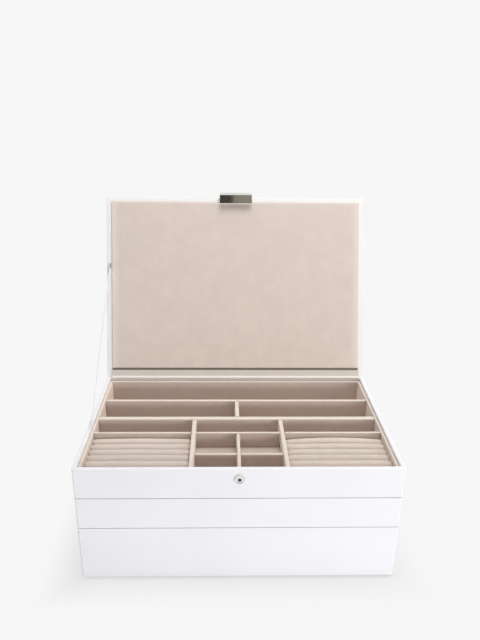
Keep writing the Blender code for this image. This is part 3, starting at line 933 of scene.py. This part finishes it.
class RollsOperator(Operator):
    """Model the ring rolls: soft bars with pinched ends that bow up in the middle"""

    bl_idname = "jewelry_box.rolls"
    bl_label = "Ring rolls"

    bows = {
        "left": (0.0010, 0.0006, 0.0005, 0.0005, 0.0004, 0.0004),
        "right": (0.0028, 0.0014, 0.0009, 0.0006, 0.0005, 0.0005),
    }
    stations = 40
    squareness = 0.96
    end_length = 0.0045
    dent = 0.00022
    dents_per_m = 45.0
    rise = 0.0012

    # An end's girth and height as shares of the middle's, and how much deeper dents are on top
    end_girth = 0.52
    end_height = 0.35
    top_dent = 1.5

    def execute(self, context):
        finishes = context.scene.jewelry_box
        material = velvet("roll_velvet", finishes.roll_colour, 1.0)
        for side, bows in self.bows.items():
            names = [f"{side}_{number}" for number in range(1, len(bows) + 1)]
            boxes = [box_middle(f"ring_roll_{name}") for name in names]
            pitch = (boxes[0][0].y - boxes[-1][0].y) / (len(bows) - 1)
            first_seed = 1 + len(side)
            for seed, (name, bow, box) in enumerate(zip(names, bows, boxes), first_seed):
                middle, half = box
                half.y = pitch / 2 - self.dent
                bm = self.roll(half, bow, seed, finishes.roll_sides)
                bm.transform(Matrix.Translation(middle))
                bar = new_piece(f"soft_roll_{name}", bm, material)
                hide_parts(f"ring_roll_{name}")
                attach(bar, "top_tray")
        return {"FINISHED"}

    def roll(self, half, bow, seed, sides):
        """A bar about its own middle, whose sections are closer together at its ends."""
        rings = []
        for station in range(self.stations + 1):
            run = -math.cos(math.pi * station / self.stations)
            x = half.x * run
            from_end = half.x - abs(x)
            swell = math.sqrt(1 - (1 - min(1.0, from_end / self.end_length)) ** 2)
            girth = self.end_girth + (1 - self.end_girth) * swell
            lift = bow * (1 - run * run) - bow / 2 + self.rise
            rings.append(self.section(x, half, girth, lift, sides, seed))
        return loft(rings)

    def section(self, x, half, girth, lift, sides, seed):
        """The points round a bar at one place along it."""
        ring = []
        for side in range(sides):
            angle = math.tau * (side + 0.5) / sides
            across, up = math.cos(angle), math.sin(angle)
            y = half.y * girth * math.copysign(abs(across) ** self.squareness, across)
            z = half.z * math.copysign(abs(up) ** self.squareness, up)
            if up > 0:
                z = z * (self.end_height + (1 - self.end_height) * girth) + lift
            dent = ripple((x, y * 2, z), self.dents_per_m, seed) * self.dent
            ring.append((x, y, z - max(0.0, up) * abs(dent) * self.top_dent))
        return ring


class PadOperator(Operator):
    """Model the lid's pad: foam under velvet, drawn tight round its edges"""

    bl_idname = "jewelry_box.pad"
    bl_label = "Lid pad"

    corner = 0.0016
    edge = 0.0014
    reach = 0.060
    slice_pitch = 0.009
    side_highlight_band = 0.0130
    far_highlight_band = 0.0045

    # Slow unevenness of the middle, and the velvet drawn in along the edges: depth, how far in it
    # reaches, and the scale and seed of its noise
    uneven = 0.00028
    uneven_noise = (14.0, 3.0)
    tuck = 0.00016
    tuck_reach = 0.006
    tuck_noise = (90.0, 5.0)

    def execute(self, context):
        finishes = context.scene.jewelry_box
        low, high = closed_box("lid_pad")
        middle = (low + high) / 2
        half = (high - low) / 2
        form = (self.corner, half.z * 2, self.edge, finishes.pad_crown, self.reach)
        bm = soft_pad(half.x, half.y, *form)
        sliced(bm, 0, -half.x, half.x, self.slice_pitch)
        sliced(bm, 1, -half.y, half.y, self.slice_pitch)
        for vertex in bm.verts:
            inside = min(half.x - abs(vertex.co.x), half.y - abs(vertex.co.y))
            if vertex.co.z > half.z:
                calm = min(1.0, inside / self.reach)
                vertex.co.z -= self.uneven * calm * (1 + ripple(vertex.co, *self.uneven_noise)) / 2
                near_edge = math.exp(-inside / self.tuck_reach)
                vertex.co.z -= self.tuck * near_edge * (1 + ripple(vertex.co, *self.tuck_noise)) / 2
        flip = Matrix.Translation((middle.x, middle.y, high.z)) @ Matrix.Rotation(math.pi, 4, "X")
        bm.transform(lid_matrix() @ flip)

        def edge_highlight(place):
            """Where a painted highlight lightens the velvet over the pad's sides and its far edge."""
            sides = place.aside(0).step(half.x - self.side_highlight_band, half.x)
            far = place.along(HINGE, LID_ALONG).step(-low.y - self.far_highlight_band, -low.y)
            return sides.larger(far)

        lit_edges = (edge_highlight, finishes.pad_edge_highlight)
        cloth = velvet("pad_velvet", finishes.pad_colour, painted_highlight=lit_edges)
        pad = new_piece("soft_lid_pad", bm, cloth)
        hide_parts("lid_pad")
        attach(pad, "lid")
        return {"FINISHED"}


class HingeOperator(Operator):
    """Model the two cloth strips of the lid's hinge"""

    bl_idname = "jewelry_box.hinge"
    bl_label = "Cloth hinge"

    thickness = 0.0005
    standoff = 0.0003
    rounding = 0.0022
    crease = 0.0009
    lit_fold = 0.0016
    across_pitch = 0.012
    lid_shade_tone = 0.77

    def execute(self, context):
        finishes = context.scene.jewelry_box
        # The strip on the lid is darkened as painted shade, and its fold keeps the full colour as a painted
        # highlight
        cloth = toned(finishes.lining_colour, self.lid_shade_tone)
        lit_fold = (lambda place: place.part(2).below(HINGE.z + self.lit_fold), finishes.lining_colour)
        lining = velvet("lining_cloth", cloth, nap=0.25, pile=0.6, painted_highlight=lit_fold)
        leather = leatherette("spine_leather", finishes)
        along = Vector((LID_ALONG.y, LID_ALONG.z))
        out = Vector((along.y, -along.x))
        self.strip("hinge_lining", along, Vector((-1, 0)), lining, self.crease)
        self.strip("hinge_spine", out, Vector((0, -1)), leather)
        return {"FINISHED"}

    def strip(self, node, lid_way, tray_way, material, short=0.0):
        """A strip that lies on the lid along one way from the axis and on the tray along the other.
        It may stop short of its end on the lid."""
        axis = Vector((HINGE.y, HINGE.z))
        points = [Vector((vertex.co.y, vertex.co.z)) - axis for vertex in NODES[node].data.vertices]
        lid_reach = max(point.dot(lid_way) for point in points)
        tray_reach = max(point.dot(tray_way) for point in points)
        middle = (lid_way + tray_way).normalized()
        half_angle = lid_way.angle(tray_way) / 2
        offset = self.standoff + self.thickness / 2
        corner = middle * (offset / math.sin(half_angle))
        back = offset / math.tan(half_angle)
        first = corner + lid_way * (lid_reach - back - short)
        last = corner + tray_way * (tray_reach - back)
        path = [point + axis for point in bend_path(first, corner, last, self.rounding)]
        low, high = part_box(node)
        bm = strip_mesh(path, self.thickness, low.x, high.x, self.across_pitch)
        piece = new_piece(f"soft_{node}", bm, material, CLOTH_SHARP_DEG)
        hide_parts(node)
        flat = (high.x - low.x, (first - corner).length + (last - corner).length)
        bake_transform(piece)


class RibbonOperator(Operator):
    """Model the ribbon that stops the lid"""

    bl_idname = "jewelry_box.ribbon"
    bl_label = "Ribbon stay"

    width = 0.0060
    thickness = 0.0004
    stations = 72
    twist_deg = 7.0
    bow = 0.0016
    head_shade_length = 0.0065

    # The section's outline, in half widths and half thicknesses
    outline = ((-1, -1), (0, -1.2), (1, -1), (1.04, 0), (1, 1), (0, 1.2), (-1, 1), (-1.04, 0))

    def execute(self, context):
        finishes = context.scene.jewelry_box
        points = [vertex.co for vertex in NODES["ribbon_stay"].data.vertices]
        by_height = sorted(points, key=lambda point: point.z)
        half = len(points) // 2
        foot = sum(by_height[:half], Vector()) / half
        head = sum(by_height[half:], Vector()) / (len(points) - half)
        run = (head - foot).normalized()
        side = Vector((0, -run.z, run.y))
        face = Vector((1, 0, 0))
        rings = []
        for station in range(self.stations + 1):
            share = station / self.stations
            turn = math.radians(self.twist_deg) * math.sin(math.tau * share)
            across = side * math.cos(turn) + face * math.sin(turn)
            through = face * math.cos(turn) - side * math.sin(turn)
            centre = foot + (head - foot) * share - face * self.bow * math.sin(math.pi * share)
            rings.append(
                [
                    centre + across * u * self.width / 2 + through * v * self.thickness / 2
                    for u, v in self.outline
                ]
            )
        satin = ribbon_weave(
            "ribbon_satin", finishes.ribbon_colour, head, finishes.head_shade_colour, self.head_shade_length
        )
        ribbon = new_piece("soft_ribbon", loft(rings), satin, CLOTH_SHARP_DEG)
        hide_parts("ribbon_stay")
        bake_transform(ribbon)
        return {"FINISHED"}


class MetalOperator(Operator):
    """Polish the hasp, its pin, leaf and rivets, and the stud"""

    bl_idname = "jewelry_box.metal"
    bl_label = "Hasp and stud"

    bright_roughness = 0.06
    satin_roughness = 0.20
    hollow_radius = 0.0021

    def execute(self, context):
        finishes = context.scene.jewelry_box
        nickel, dark = finishes.metal_colour, finishes.core_colour
        bright = polished("bright_nickel", nickel, self.bright_roughness)
        satin = polished("satin_nickel", nickel, self.satin_roughness)
        centre = box_middle("stud_core")[0]
        kinds = {
            "hasp_plate": bright,
            "hasp_pin": satin,
            "hasp_leaf": satin,
            "hasp_rivet_left": satin,
            "hasp_rivet_right": satin,
            "stud_ring": bright,
            "stud_core": dished("stud_dish", nickel, dark, centre, self.hollow_radius),
            "hasp_magnet": dark_face("dark_metal", dark),
        }
        for name, material in kinds.items():
            give(NODES[name], material)
        return {"FINISHED"}


class BoxPanel(Panel):
    """Lists the pieces that can be made"""

    bl_idname = "VIEW3D_PT_jewelry_box"
    bl_label = "Jewelry Box"
    bl_space_type = "VIEW_3D"
    bl_region_type = "UI"
    bl_category = "Jewelry Box"

    def draw(self, context):
        scene = context.scene
        for group in (scene.jewelry_box, scene.jewelry_box_light):
            box = self.layout.box()
            for name in group.__annotations__:
                box.prop(group, name)
        column = self.layout.column()
        for operator in OPERATORS:
            column.operator(operator.bl_idname)


OPERATORS = (
    CameraOperator,
    StageOperator,
    TraysOperator,
    DividersOperator,
    RollsOperator,
    PadOperator,
    HingeOperator,
    RibbonOperator,
    MetalOperator,
)
CLASSES = (BoxFinishes, StudioLight, *OPERATORS, BoxPanel)


def register():
    for item in CLASSES:
        bpy.utils.register_class(item)
    bpy.types.Scene.jewelry_box = PointerProperty(type=BoxFinishes)
    bpy.types.Scene.jewelry_box_light = PointerProperty(type=StudioLight)


def unregister():
    del bpy.types.Scene.jewelry_box_light
    del bpy.types.Scene.jewelry_box
    for item in reversed(CLASSES):
        bpy.utils.unregister_class(item)


def main():
    register()
    for operator in OPERATORS:
        category, name = operator.bl_idname.split(".")
        getattr(getattr(bpy.ops, category), name)()


if __name__ == "__main__":
    main()
